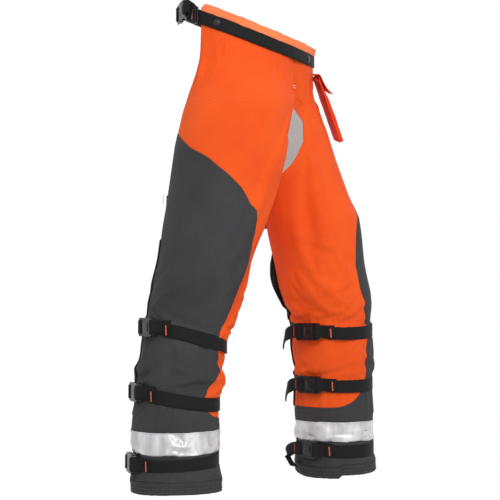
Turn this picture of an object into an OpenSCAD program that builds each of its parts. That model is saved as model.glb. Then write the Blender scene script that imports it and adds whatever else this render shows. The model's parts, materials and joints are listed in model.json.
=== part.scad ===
/* [Waist] */
// Half width of the waist ring
waist_half_w = 164; // [150:1:176]
// Half depth of the waist ring
waist_half_d = 104; // [94:1:112]
// How far the belt dips at the centre of the front
belt_dip = 45; // [36:1:56]
// How far it rises at the centre of the back
belt_rise = 52; // [40:1:60]
// Angle from the centre of the front to the free edge of the apron
apron_angle = 88; // [80:1:90]

/* [Legs] */
// Height of the bottom edge, measured from the belt
hem_z = -866; // [-876:1:-860]
// Height of the crotch notch
crotch_z = -113; // [-120:1:-106]
// Distance of a leg's axis from the middle at the crotch
hip_x = 82; // [78:1:86]
// Distance of a leg's axis from the middle at the hem
hem_x = 184; // [176:1:192]
// Height where the grey lower panel starts
lower_z = -727; // [-735:1:-720]
// Height of the middle of the reflective tape
tape_z = -779; // [-782:1:-776]
// Height of the reflective tape
tape_h = 40; // [30:1:42]

/* [Webbing and buckles] */
// Width of the webbing
web_w = 25; // [20:1:25]
// Thickness of the webbing
web_t = 1.8; // [1.4:0.1:1.8]
// Width of a side release buckle
buckle_w = 34; // [33:0.5:36]
// Length of the female half
female_len = 34; // [32:1:36]
// Thickness of a buckle
buckle_t = 10; // [9.6:0.1:10.4]
// Thickness of the moulded walls
wall = 2; // [1.8:0.1:2.1]

/* [Pocket] */
// Width of the thigh pocket
pocket_w = 86; // [80:1:96]
// Height of the thigh pocket
pocket_h = 142; // [130:1:150]
// Thickness of the thigh pocket
pocket_t = 20; // [18:1:24]

/* [Fabric] */
// Thickness of the shell fabric and its binding
shell_t = 2.4; // [2:0.1:2.6]
// Thickness of the protective pad
pad_t = 5; // [4:0.5:5.5]
// Thickness of the lining
lining_t = 1; // [0.8:0.1:1.2]

/* [Hidden] */
RIGHT = -1;
LEFT = 1;
SIDES = [RIGHT, LEFT];
STRAPS = [0, 1, 2, 3];
// Heights of the straps, from the thigh to the ankle, right leg and left leg
strap_z = [[-338, -592, -702, -813], [-352, -577, -684, -815]];
// Rise of each strap per millimetre outward and backwards
strap_lean = [[0.1, 0.18, 0.06, -0.07], [0.1, 0.08, 0.05, 0.02]];
strap_back = [[0, 0.14, 0.14, 0.02], [0, 0.08, 0.06, 0.05]];
lean_reach = 85;
// Direction of the buckles: 0 is the front, 90 the wearer's right
buckle_angle = [[198, 114, 124, 128], [166, 96, 98, 104]];
thigh_strap_start = 128; // a thigh strap only crosses the open back
thigh_strap_end = 238;
belt_buckle_angle = 114;
slider_angle = 94;
snap_angles = [-72, 17];   // on the waist ring, positive to the wearer's left
waistband_h = 22;
waistband_lift = 19.5; // its middle above the middle of the belt
side_lift = 5;         // rise of the belt over the hips
web_gap = 1.8;         // webbing above the fabric
slack = 0.4;           // clearance between pieces that slide
gap = 0.5;             // clearance between layers of fabric
wrap_gap = 1.8;        // and under the back wraps
pad_gap = 2.2;         // between the shell and its pad
lining_gap = 2.2;      // between the pad and its lining
tape_gap = 1.1;        // under the reflective tape
run_front = 26;        // straight webbing in front of a buckle's middle
run_back = 10;         // and behind it
steps = 44;            // pieces of a full ring
eps = 0.01;

// ---- shape of the body that the chaps hang on ----

// Radius of a leg against height
leg_r = [[-866, 74], [-815, 71.5], [-765, 70.5], [-700, 71.5], [-625, 72], [-560, 76],
         [-505, 82], [-450, 88], [-380, 96], [-300, 101], [-230, 106], [10, 106]];
// Place of a leg's axis, front to back, against height
right_y = [[-866, 38], [-760, 52], [-640, 53], [-520, 34], [-350, 0], [-150, -32], [10, -32]];
left_y = [[-866, -88], [-760, -93], [-640, -101], [-520, -103], [-350, -76], [-300, -52],
          [-230, -24], [-150, -2], [10, 2]];
// Where the panels end, as angles round the leg: 0 is the front, positive is outward
inner_edge = [[-430, -158], [-345, -142], [-305, -106], [-275, -74], [-256, -58], [-236, -47],
              [-210, -36], [-170, -29], [-141, -37], [-113, -50], [10, -50]];
outer_edge = [[-430, 150], [-203, 140], [-130, 132], [-60, 124], [10, 120]];
// The seam between the orange front and the grey side
side_seam = [[-727, 12], [-700, 16], [-675, 7], [-650, -8], [-590, 4], [-560, 0], [-500, -9],
             [-450, -8], [-385, 2], [-358, 10], [-316, 34], [-258, 78], [-203, 139]];

function smooth(t) = let (c = max(0, min(1, t))) c * c * (3 - 2 * c);
function mix(a, b, t) = a * (1 - t) + b * t;
function belt_z(a) = side_lift * sin(a) * sin(a) - (belt_dip + belt_rise) / 2 * cos(a)
  - (belt_dip - belt_rise) / 2 * cos(a) * cos(a);
function axis_x(z) = hip_x + (hem_x - hip_x) * max(0, min(1, (z + 100) / (hem_z + 100)));
function axis_y(side, z) = lookup(z, side == RIGHT ? right_y : left_y);

// Point on the waist ring; a runs from the front, positive to the wearer's left
function waist_point(a, off) = [
  (waist_half_w + off) * sin(a), -(waist_half_d + off) * cos(a), belt_z(a)];

// Point on a leg; f runs from the front, positive outward
function leg_point(side, z, f, off) =
  let (limit = 0.4 + 6 * smooth((crotch_z - z) / 60) - min(off, 0),
       x = max(limit, axis_x(z) + (lookup(z, leg_r) + off) * sin(f)))
  [side * x, axis_y(side, z) - (lookup(z, leg_r) + off) * cos(f), z];

// Point on the whole garment: the waist ring at the top turns into the leg below
function body_point(side, z, f, off) =
  let (w = smooth((-10 - z) / 160),
       u = (f - lookup(z, inner_edge)) / (lookup(z, outer_edge) - lookup(z, inner_edge)),
       top = waist_point(side * (0.15 + (apron_angle - 0.15) * max(0, min(1.1, u))), off),
       leg = leg_point(side, z, f, off))
  [mix(top[0], leg[0], w), mix(top[1], leg[1], w), z + (1 - w) * top[2]];

function angle_in(z) = lookup(z, inner_edge);
function angle_out(z) = lookup(z, outer_edge);
function angle_seam(z) = z > -203 ? angle_out(z) : lookup(z, side_seam);

// ---- skins: closed shells between two surfaces ----

// Rows of points, one per height, each from angle a[i] to b[i]
module skin(side, zs, a, b, off_in, off_out, n) {
  rows = len(zs);
  m = n + 1;
  count = rows * m;
  points = concat(
    [for (i = [0:rows - 1]) for (j = [0:n])
      body_point(side, zs[i], mix(a[i], b[i], j / n), off_out)],
    [for (i = [0:rows - 1]) for (j = [0:n])
      body_point(side, zs[i], mix(a[i], b[i], j / n), off_in)]);
  outer = [for (i = [0:rows - 2]) for (j = [0:n - 1]) for (t = [0, 1])
    let (p = i * m + j) t == 0 ? [p, p + 1, p + m + 1] : [p, p + m + 1, p + m]];
  inner = [for (f = outer) [f[0] + count, f[2] + count, f[1] + count]];
  ends = [for (j = [0:n - 1]) for (i = [0, rows - 1]) for (t = [0, 1])
    let (p = i * m + j, q = p + 1, flip = i > 0,
         f = t == 0 ? [p, p + count, q + count] : [p, q + count, q])
    flip ? [f[0], f[2], f[1]] : f];
  sides = [for (i = [0:rows - 2]) for (j = [0, n]) for (t = [0, 1])
    let (p = i * m + j, q = p + m, flip = j > 0,
         f = t == 0 ? [p, q, q + count] : [p, q + count, p + count])
    flip ? [f[0], f[2], f[1]] : f];
  faces = concat(outer, inner, ends, sides);
  polyhedron(points, side == RIGHT ? [for (f = faces) [f[0], f[2], f[1]]] : faces);
}

// A closed band all round a leg
module tube(side, zs, off_in, off_out) {
  rows = len(zs);
  count = rows * steps;
  points = concat(
    [for (z = zs) for (j = [0:steps - 1]) leg_point(side, z, side * j * 360 / steps, off_out)],
    [for (z = zs) for (j = [0:steps - 1]) leg_point(side, z, side * j * 360 / steps, off_in)]);
  quads = [for (i = [0:rows - 2]) for (j = [0:steps - 1])
    let (p = i * steps + j, q = i * steps + (j + 1) % steps) [p, q, q + steps, p + steps]];
  rims = [for (j = [0:steps - 1]) for (i = [0, rows - 1])
    let (p = i * steps + j, q = i * steps + (j + 1) % steps)
    i == 0 ? [p, p + count, q + count, q] : [p, q, q + count, p + count]];
  all = concat(quads, [for (f = quads) [f[3] + count, f[2] + count, f[1] + count, f[0] + count]], rims);
  polyhedron(points, [for (f = all) for (t = [0, 1])
    t == 0 ? [f[0], f[1], f[2]] : [f[0], f[2], f[3]]]);
}

function from_to(a, b, n) = [for (i = [0:n]) mix(a, b, i / n)];

module front_panel(side) {
  zs = concat(from_to(8, -110, 6), [-130, -150, -170, -203], from_to(-227, -371, 6),
              from_to(-400, lower_z, 11));
  color("darkorange")
    skin(side, zs, [for (z = zs) angle_in(z)], [for (z = zs) angle_seam(z) - 0.6], -shell_t, 0, 16);
}

module side_panel(side) {
  zs = concat([-206, -215], from_to(-227, -371, 6), from_to(-400, lower_z, 11));
  color("dimgray")
    skin(side, zs, [for (z = zs) angle_seam(z)], [for (z = zs) max(angle_out(z), angle_seam(z) + 0.3)],
         -shell_t, 0, 16);
}

module back_wrap(side) {
  zs = from_to(-405, tape_z + tape_h / 2 + gap + 24, 9);
  color("dimgray")
    skin(side, zs, [for (z = zs) 134], [for (z = zs) 214],
         wrap_gap, wrap_gap + shell_t, 10);
}

module lower_panel(side) {
  color("dimgray") tube(side, from_to(lower_z - gap, hem_z + 22 + gap, 5), -shell_t, 0);
}

module hem_band(side) {
  color("dimgray") tube(side, [hem_z + 22, hem_z + 11, hem_z], -shell_t, 0.8);
}

module reflective_tape(side) {
  color("silver")
    tube(side, from_to(tape_z + tape_h / 2, tape_z - tape_h / 2, 3), tape_gap, tape_gap + 0.8);
}

module protective_pad(side) {
  zs = concat(from_to(-60, -110, 2), [-150, -203], from_to(-240, lower_z + 20, 14));
  color("white")
    skin(side, zs, [for (z = zs) max(angle_in(z) + 6, -70)], [for (z = zs) min(angle_out(z) - 8, 100)],
         -shell_t - pad_gap - pad_t, -shell_t - pad_gap, 14);
}

module lining(side) {
  zs = concat(from_to(-50, -110, 2), [-150, -203], from_to(-240, lower_z - 40, 14));
  color("whitesmoke")
    skin(side, zs, [for (z = zs) max(angle_in(z) + 3, -140)], [for (z = zs) min(angle_out(z) - 4, 130)],
         -shell_t - pad_gap - pad_t - lining_gap - lining_t,
         -shell_t - pad_gap - pad_t - lining_gap, 16);
}

// ---- webbing: flat bands along a path ----

// A band of the webbing's width; each place is [point, outward direction]
module band(path, w, t) {
  n = len(path);
  up = [0, 0, w / 2];
  points = [for (p = path) each [p[0] - up, p[0] + up, p[0] + up + p[1] * t, p[0] - up + p[1] * t]];
  quads = concat(
    [for (i = [0:n - 2]) for (k = [0:3])
      [4 * i + k, 4 * i + (k + 1) % 4, 4 * i + 4 + (k + 1) % 4, 4 * i + 4 + k]],
    [[3, 2, 1, 0], [4 * n - 4, 4 * n - 3, 4 * n - 2, 4 * n - 1]]);
  polyhedron(points, [for (f = quads) for (k = [0, 1])
    k == 0 ? [f[0], f[2], f[1]] : [f[0], f[3], f[2]]]);
}

// Directions seen from above: a is 0 at the front and 90 at the wearer's right
function outward(a) = [-sin(a), -cos(a), 0];
function along(a) = [-cos(a), sin(a), 0];

function pick(table, side) = table[side == RIGHT ? 0 : 1];
// Height of a strap in direction a: higher outward and at the back
function strap_height(side, k, a) = let (o = outward(a) * lean_reach)
  pick(strap_z, side)[k] + pick(strap_lean, side)[k] * side * o[0] + pick(strap_back, side)[k] * o[1];
function strap_point(side, k, a, off) = leg_point(side, strap_height(side, k, a), -side * a, off);
// A strap stands off by the thickness of the wrap that it crosses
strap_off = wrap_gap + shell_t + web_gap;

function strap_place(side, k) = strap_point(side, k, pick(buckle_angle, side)[k], strap_off);

belt_off = web_gap + shell_t + 1;
function belt_place() = waist_point(-belt_buckle_angle, belt_off);

// Webbing from a buckle's male half round the back, and round the front to its female half
function strap_rear(side, k, last) =
  let (a0 = pick(buckle_angle, side)[k], base = strap_place(side, k), dir = along(a0), out = outward(a0))
  concat([[base + dir * (run_back - 4), out], [base + dir * run_back, out]],
         [for (a = [a0 + 14 : 8 : last]) [strap_point(side, k, a, strap_off), outward(a)]]);
function strap_front(side, k, first) =
  let (a0 = pick(buckle_angle, side)[k], base = strap_place(side, k), dir = along(a0), out = outward(a0))
  concat([for (a = [first : 8 : a0 - 26]) [strap_point(side, k, a, strap_off), outward(a)]],
         [[base - dir * run_front, out], [base - dir * (run_front - 6), out]]);

function belt_normal(a) =
  let (n = [-sin(a) / waist_half_w, -cos(a) / waist_half_d, 0]) n / norm(n);

function belt_path() =
  let (base = belt_place(), out = belt_normal(belt_buckle_angle), dir = [out[1], -out[0], 0])
  concat(
    [[base + dir * (run_back - 4), out], [base + dir * run_back, out]],
    [for (a = [belt_buckle_angle + 8 : 6 : belt_buckle_angle + 360 - 13])
      [waist_point(-a, belt_off), belt_normal(a)]],
    [[base - dir * run_front, out], [base - dir * (run_front - 6), out]]);

module strap(side, k) {
  a0 = pick(buckle_angle, side)[k];
  color([0.13, 0.13, 0.14])
    if (k == 0) {
      band(strap_rear(side, k, thigh_strap_end), web_w, web_t);
      band(strap_front(side, k, thigh_strap_start), web_w, web_t);
    } else {
      band(concat(strap_rear(side, k, a0 + 180), strap_front(side, k, a0 - 175)), web_w, web_t);
    }
}

module belt_webbing() {
  color([0.13, 0.13, 0.14]) band(belt_path(), web_w, web_t);
}

module waistband() {
  path = [for (a = [-apron_angle : 4 : apron_angle + 1])
    [waist_point(a, 0) + [0, 0, waistband_lift], belt_normal(-a)]];
  color([1, 0.5, 0.33]) band(path, waistband_h, -shell_t);
}

// ---- side release buckles: x runs along the webbing, y outward, z up ----

web_top = web_t + slack;          // underside of the moulded halves
mouth_x = 4;                      // open end of the female half
female_x = mouth_x - female_len;  // its webbing end
core_w = buckle_w - 2 * wall;     // width of the cavity
core_t = buckle_t - 2 * wall;     // and its thickness
frame_len = 18;                   // the male half's webbing frame

module rounded_block(x0, x1, w, y0, y1, r) {
  hull() for (x = [x0 + r, x1 - r]) for (z = [-w / 2 + r, w / 2 - r])
    translate([x, y1, z]) rotate([90, 0, 0]) cylinder(r = r, h = y1 - y0, $fn = 32);
}

module buckle_female() {
  y0 = web_top;
  y1 = web_top + buckle_t;
  color([0.12, 0.12, 0.13]) difference() {
    rounded_block(female_x, mouth_x, buckle_w, y0, y1, 4);
    // cavity for the prongs, open at the mouth
    translate([female_x + 12, y0 + wall, -core_w / 2]) cube([female_len, core_t, core_w]);
    // side windows that the barbs snap into
    for (s = [-1, 1])
      translate([female_x + 15, y0 + wall, s * buckle_w / 2 - 3]) cube([11, core_t, 6]);
    // slot that the webbing folds through
    translate([female_x + 3.2, y0 - eps, -web_w / 2 - 1]) cube([5, buckle_t + 2 * eps, web_w + 2]);
  }
}

module prong(s) {
  root = core_w / 2 - 5.5;
  y0 = web_top + wall + slack;
  translate([0, y0 + core_t - 2 * slack, 0]) rotate([90, 0, 0])
    linear_extrude(core_t - 2 * slack)
      polygon([[mouth_x + 3, s * root], [mouth_x + 3, s * (root + 4)],
               [-4, s * (root + 3.6)], [-5, s * (root + 4.8)], [-12, s * (root + 4.4)],
               [-16, s * (root + 2)], [-16, s * (root - 0.5)], [-5, s * (root - 0.5)]]);
}

module buckle_male() {
  y0 = web_top;
  y1 = web_top + buckle_t;
  color([0.12, 0.12, 0.13]) {
    difference() {
      rounded_block(mouth_x + 0.6, mouth_x + 0.6 + frame_len, buckle_w, y0, y1 - 2, 3);
      for (x = [mouth_x + 5.6, mouth_x + 12.6])
        translate([x, y0 - eps, -web_w / 2 - 1]) cube([3.4, buckle_t, web_w + 2]);
    }
    prong(1);
    prong(-1);
    translate([-14, y0 + wall + slack, -2]) cube([mouth_x + 16, core_t - 2 * slack, 4]);
  }
}

// The loose end: up through the front slot, over the bar and out along the webbing
module webbing_tail(length, droop) {
  x0 = mouth_x + 6.4;
  y0 = web_top + 1;
  y1 = web_top + buckle_t - 2 + slack;
  color([0.13, 0.13, 0.14])
    translate([0, 0, -web_w / 2]) linear_extrude(web_w)
      polygon([[x0, y0], [x0 + web_t, y0], [x0 + web_t, y1], [x0 + 18, y1],
               [x0 + length * 0.7, y1 + droop * 0.3], [x0 + length, y1 + droop],
               [x0 + length - 1, y1 + droop + web_t], [x0 + length * 0.7 - 0.5, y1 + droop * 0.3 + web_t],
               [x0 + 17, y1 + web_t], [x0, y1 + web_t]]);
}

module at_strap(side, k) {
  a = pick(buckle_angle, side)[k];
  translate(strap_place(side, k)) rotate([0, 0, 180 - a]) children();
}

module at_belt() {
  n = belt_normal(belt_buckle_angle);
  translate(belt_place()) rotate([0, 0, atan2(n[1], n[0]) - 90]) children();
}

module belt_slider() {
  n = belt_normal(slider_angle);
  color([0.12, 0.12, 0.13])
    translate(waist_point(-slider_angle, belt_off)) rotate([0, 0, atan2(n[1], n[0]) - 90])
      difference() {
        rounded_block(-7, 7, buckle_w - 2, web_t + 0.6, web_t + 3.6, 3);
        for (x = [-4.6, 1.4]) translate([x, 0, -web_w / 2 - 0.5]) cube([3.2, 10, web_w + 1]);
      }
}

module snap_caps() {
  color([0.1, 0.1, 0.1]) for (a = snap_angles)
    let (n = belt_normal(-a), p = waist_point(a, belt_off + web_t + 0.2))
      translate(p) rotate([0, 0, atan2(n[1], n[0]) - 90]) rotate([-90, 0, 0]) {
        cylinder(d = 13, h = 1.6, $fn = 40);
        translate([0, 0, 1.6 - eps]) cylinder(d = 9, h = 1.2, $fn = 40);
      }
}

// Sewn bars where each strap is fixed to its panel
module bartacks() {
  color([0.94, 0.38, 0.24]) for (side = SIDES) for (k = STRAPS)
    let (a = k == 0 ? thigh_strap_start + 4 : pick(buckle_angle, side)[k] - 29)
      translate(strap_point(side, k, a, strap_off + web_t + 1)) rotate([0, 0, 180 - a])
        translate([-1.2, 0, -9]) cube([2.4, 0.8, 18]);
}

// ---- pocket on the front of the wearer's left thigh ----

pocket_angle = 38;     // direction it faces, outward from the front
pocket_lean = 21;      // it follows the slope of the thigh
pocket_tilt = 14;      // its top edge follows the belt, which drops towards the front
pocket_z = -32;        // height of its top edge on the panel
pocket_off = 6;        // from the panel to the bag's back sheet
sheet_t = 2;
bag_r = 8;             // radius of its corners
mouth_depth = 12;      // open part of the sides below the top edge
flap_rise = 1.2;       // from the top edge to the flap
flap_t = 1.8;
flap_drop = 44;        // how far the flap hangs in front
flap_cut = 16;         // cut-off corners of the flap
pocket_origin = body_point(LEFT, pocket_z, pocket_angle, 0)
  + pocket_off * [sin(pocket_angle), -cos(pocket_angle), 0];

module at_pocket() {
  translate(pocket_origin) rotate([0, 0, 180 + pocket_angle]) rotate([0, pocket_tilt, 0])
    rotate([pocket_lean, 0, 0]) children();
}

// Outline of the bag less an edge of the given width, between two depths
module bag_outline(edge, y0, y1) {
  hull() for (x = [-1, 1]) for (z = [-bag_r, -pocket_h + bag_r])
    translate([x * (pocket_w / 2 - bag_r), y1, z])
      rotate([90, 0, 0]) cylinder(r = bag_r - edge, h = y1 - y0, $fn = 32);
}

// x across, y outward, z down from the top edge
module pocket_back() {
  color("orangered") at_pocket() bag_outline(0, 0, sheet_t);
}

module pocket_front() {
  color("orangered") at_pocket() bag_outline(0, pocket_t - sheet_t, pocket_t);
}

// Sides and bottom between the two sheets
module pocket_gusset() {
  color("orangered") at_pocket() difference() {
    bag_outline(0, sheet_t + 0.1, pocket_t - sheet_t - 0.1);
    bag_outline(sheet_t, 0, pocket_t);
    translate([-pocket_w / 2, 0, -mouth_depth]) cube([pocket_w, pocket_t, 2 * mouth_depth]);
  }
}

module pocket_flap() {
  w = pocket_w / 2 + 2;
  front_y = pocket_t + 1.6 + flap_t;
  color("orangered") at_pocket() {
    translate([-w, 0, flap_rise]) cube([2 * w, front_y, flap_t]);
    translate([0, front_y, 0]) rotate([90, 0, 0]) linear_extrude(flap_t)
      polygon([[-w, flap_rise + flap_t], [w, flap_rise + flap_t], [w, flap_cut - flap_drop],
               [w - flap_cut, -flap_drop], [flap_cut - w, -flap_drop], [-w, flap_cut - flap_drop]]);
  }
}

front_panel(RIGHT);  // front_panel_right
front_panel(LEFT);  // front_panel_left
side_panel(RIGHT);  // side_panel_right
side_panel(LEFT);  // side_panel_left
lower_panel(RIGHT);  // lower_panel_right
lower_panel(LEFT);  // lower_panel_left
hem_band(RIGHT);  // hem_band_right
hem_band(LEFT);  // hem_band_left
back_wrap(RIGHT);  // back_wrap_right
back_wrap(LEFT);  // back_wrap_left
protective_pad(RIGHT);  // protective_pad_right
protective_pad(LEFT);  // protective_pad_left
lining(RIGHT);  // lining_right
lining(LEFT);  // lining_left
reflective_tape(RIGHT);  // reflective_tape_right
reflective_tape(LEFT);  // reflective_tape_left
waistband();
belt_webbing();
belt_slider();
snap_caps();
bartacks();
at_belt() buckle_female();  // belt_buckle_female
at_belt() buckle_male();  // belt_buckle_male
at_belt() webbing_tail(24, 1);  // belt_tail
pocket_back();
pocket_front();
pocket_gusset();
pocket_flap();
for (side = SIDES) for (k = STRAPS)
  let (tag = str(side == RIGHT ? "right_" : "left_", k + 1)) {
    strap(side, k);
    at_strap(side, k) buckle_female();
    at_strap(side, k) buckle_male();
    at_strap(side, k) webbing_tail(24, 1);
  }
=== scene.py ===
import json
import math

import bmesh
import bpy
import numpy as np
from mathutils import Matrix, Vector, noise


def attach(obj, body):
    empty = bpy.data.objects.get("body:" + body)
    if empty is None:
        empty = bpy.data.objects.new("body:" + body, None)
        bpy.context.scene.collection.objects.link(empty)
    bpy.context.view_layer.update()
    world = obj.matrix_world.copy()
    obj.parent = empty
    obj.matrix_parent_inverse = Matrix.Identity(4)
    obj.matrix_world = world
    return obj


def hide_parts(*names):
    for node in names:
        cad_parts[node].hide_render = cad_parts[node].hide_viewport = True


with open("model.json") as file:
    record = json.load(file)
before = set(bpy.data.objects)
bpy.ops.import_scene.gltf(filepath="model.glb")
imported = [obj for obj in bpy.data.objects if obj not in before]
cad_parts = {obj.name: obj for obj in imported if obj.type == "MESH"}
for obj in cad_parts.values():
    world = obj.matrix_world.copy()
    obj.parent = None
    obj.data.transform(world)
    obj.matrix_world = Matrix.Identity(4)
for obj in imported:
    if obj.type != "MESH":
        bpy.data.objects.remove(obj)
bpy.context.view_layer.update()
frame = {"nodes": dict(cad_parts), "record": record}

MM = 0.001
RIGHT, LEFT = -1, 1
SIDES = {"right": RIGHT, "left": LEFT}

# ---------------------------------------------------------------- driving sizes, in mm as in the CAD
WAIST_W, WAIST_D, BELT_DIP, BELT_RISE, SIDE_LIFT = 164, 104, 45, 52, 5
APRON_ANGLE = 88
HEM_Z, CROTCH_Z, LOWER_Z = -866, -100, -727
HIP_X, HEM_X = 82, 184
TAPE_Z, TAPE_H = -779, 40
WEB_W, WEB_T = 25, 1.8
WRAP_GAP, WEB_GAP = 1.8, 1.8
SHELL_T = 2.4
BUCKLE_T = 10
STRAP_Z = {RIGHT: (-338, -592, -702, -813), LEFT: (-352, -577, -684, -815)}
STRAP_LEAN = {RIGHT: (0.1, 0.18, 0.06, -0.07), LEFT: (0.1, 0.08, 0.05, 0.02)}
STRAP_BACK = {RIGHT: (0, 0.14, 0.14, 0.02), LEFT: (0, 0.08, 0.06, 0.05)}
BUCKLE_ANGLE = {RIGHT: (198, 114, 124, 128), LEFT: (166, 96, 98, 104)}
THIGH_START, THIGH_END = 128, 238
LEAN_REACH = 85          # from the leg's axis to where a strap's lean is measured
SEAM_TOP, WRAP_TOP = -203, -405
WRAP_FROM, WRAP_TO = 136, 214
BELT_ANGLE, SLIDER_ANGLE, SNAP_ANGLES = 114, 94, (-72, 17)
STRAP_OFF = WRAP_GAP + SHELL_T + WEB_GAP
BELT_OFF = WEB_GAP + SHELL_T + 1

LEG_R = ((-866, 74), (-815, 71.5), (-765, 70.5), (-700, 71.5), (-625, 72), (-560, 76),
         (-505, 82), (-450, 88), (-380, 96), (-300, 101), (-230, 106), (10, 106))
AXIS_Y = {RIGHT: ((-866, 38), (-760, 52), (-640, 53), (-520, 34), (-350, 0), (-150, -32), (10, -32)),
          LEFT: ((-866, -88), (-760, -93), (-640, -101), (-520, -103), (-350, -76), (-300, -52),
                 (-230, -24), (-150, -2), (10, 2))}
INNER_EDGE = ((-430, -158), (-345, -142), (-305, -106), (-275, -74), (-256, -58), (-236, -47),
              (-210, -36), (-170, -29), (-134, -37), (-100, -50), (10, -50))
OUTER_EDGE = ((-430, 150), (-203, 140), (-130, 132), (-60, 124), (10, 120))
SIDE_SEAM = ((-727, 16), (-700, 16), (-675, 7), (-650, -8), (-590, 4), (-560, 0), (-500, -9),
             (-450, -8), (-385, 2), (-358, 10), (-316, 34), (-258, 78), (-203, 139))
# On the left leg the seam lies further inward below the knee
SEAM_LEFT = ((-727, -22), (-675, -15), (-650, 3), (-620, -2), (-560, 0))
# The simulated cloth closes to a full tube below the knee
CLOTH_IN = ((-440, -180), (-400, -160), *INNER_EDGE[1:])
CLOTH_OUT = ((-440, 180), (-400, 152), *OUTER_EDGE[1:])


def lookup(z, table):
    return np.interp(z, [p[0] for p in table], [p[1] for p in table])


def travelled(path):
    """Distance along a path at each of its points."""
    return np.concatenate([[0], np.cumsum(np.linalg.norm(np.diff(path, axis=0), axis=-1))])


def smooth(t):
    c = np.clip(t, 0, 1)
    return c * c * (3 - 2 * c)


def unit(v):
    return v / np.maximum(np.linalg.norm(v, axis=-1, keepdims=True), 1e-9)


def mix(a, b, t):
    return a * (1 - t) + b * t


def rad(a):
    return np.radians(a)


def belt_z(a):
    c = np.cos(rad(a))
    return SIDE_LIFT * (1 - c * c) - (BELT_DIP + BELT_RISE) / 2 * c - (BELT_DIP - BELT_RISE) / 2 * c * c


def waist_point(a, off):
    return np.stack([(WAIST_W + off) * np.sin(rad(a)), -(WAIST_D + off) * np.cos(rad(a)),
                     belt_z(a)], -1)


def axis_x(z):
    return HIP_X + (HEM_X - HIP_X) * np.clip((z + 100) / (HEM_Z + 100), 0, 1)


def leg_point(side, z, f, off):
    z, f, off = np.broadcast_arrays(np.asarray(z, float), f, off)
    r = lookup(z, LEG_R) + off
    limit = 0.4 + 6 * smooth((CROTCH_Z - z) / 60) - np.minimum(off, 0)
    x = np.maximum(limit, axis_x(z) + r * np.sin(rad(f)))
    return np.stack([side * x, lookup(z, AXIS_Y[side]) - r * np.cos(rad(f)), z], -1)


def body_point(side, z, f, off):
    """The shape that the chaps hang in: the waist ring turns into the leg below it."""
    z, f, off = np.broadcast_arrays(np.asarray(z, float), f, off)
    w = smooth((-10 - z) / 160)[..., None]
    u = (f - lookup(z, INNER_EDGE)) / (lookup(z, OUTER_EDGE) - lookup(z, INNER_EDGE))
    top = waist_point(side * (0.15 + (APRON_ANGLE - 0.15) * np.clip(u, 0, 1.1)), off)
    leg = leg_point(side, z, f, off)
    point = mix(top, leg, w)
    point[..., 2] = z + (1 - w[..., 0]) * top[..., 2]
    return point


def seam_angle(side, z):
    seam = lookup(z, SIDE_SEAM) + (side == LEFT) * lookup(z, SEAM_LEFT)
    return np.where(z > SEAM_TOP, lookup(z, OUTER_EDGE), seam)


# ---------------------------------------------------------------- camera and lights

CAMERA_FROM_FRONT, CAMERA_UP = 56.4, 4.0   # degrees round to the wearer's right, and upward
CAMERA_AWAY, CAMERA_Z, CAMERA_LENS = 2.0, -0.562, 73.0


def make_camera():
    a, e = math.radians(CAMERA_FROM_FRONT), math.radians(CAMERA_UP)
    data = bpy.data.cameras.new("camera")
    data.lens, data.sensor_width = CAMERA_LENS, 36
    cam = bpy.data.objects.new("camera", data)
    bpy.context.collection.objects.link(cam)
    cam.location = (-math.sin(a) * CAMERA_AWAY, -math.cos(a) * CAMERA_AWAY, CAMERA_Z)
    aim = Vector((math.sin(a) * math.cos(e), math.cos(a) * math.cos(e), math.sin(e)))
    cam.rotation_euler = aim.to_track_quat("-Z", "Y").to_euler()
    bpy.context.scene.camera = cam


def area_light(name, azimuth, height, away, size, watts, color=(1, 1, 1)):
    data = bpy.data.lights.new(name, "AREA")
    data.shape, data.size, data.energy, data.color = "DISK", size, watts, color
    lamp = bpy.data.objects.new(name, data)
    bpy.context.collection.objects.link(lamp)
    a = math.radians(azimuth)
    lamp.location = (math.sin(a) * away, -math.cos(a) * away, height)
    lamp.rotation_euler = (Vector((0, 0, -0.42)) - lamp.location).to_track_quat("-Z", "Y").to_euler()


def make_studio():
    world = bpy.data.worlds.new("studio")
    world.use_nodes = True
    tree = world.node_tree
    # white behind the object as it is photographed, softer from the other sides
    place = tree.nodes.new("ShaderNodeTexCoord")
    aim = tree.nodes.new("ShaderNodeVectorMath")
    aim.operation = "DOT_PRODUCT"
    aim.inputs[1].default_value = (0.83, 0.55, 0.05)
    tree.links.new(place.outputs["Generated"], aim.inputs[0])
    level = tree.nodes.new("ShaderNodeMapRange")
    level.interpolation_type = "SMOOTHSTEP"
    for key, value in (("From Min", -0.1), ("From Max", 0.7), ("To Min", 0.78), ("To Max", 1.0)):
        level.inputs[key].default_value = value
    tree.links.new(aim.outputs["Value"], level.inputs["Value"])
    tree.links.new(level.outputs["Result"], tree.nodes["Background"].inputs["Strength"])
    tree.nodes["Background"].inputs["Color"].default_value = (1, 1, 1, 1)
    scene = bpy.context.scene
    scene.world = world
    scene.view_settings.view_transform = "Standard"
    area_light("key", -40, 0.7, 2.1, 0.9, 24)


# ---------------------------------------------------------------- materials

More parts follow.
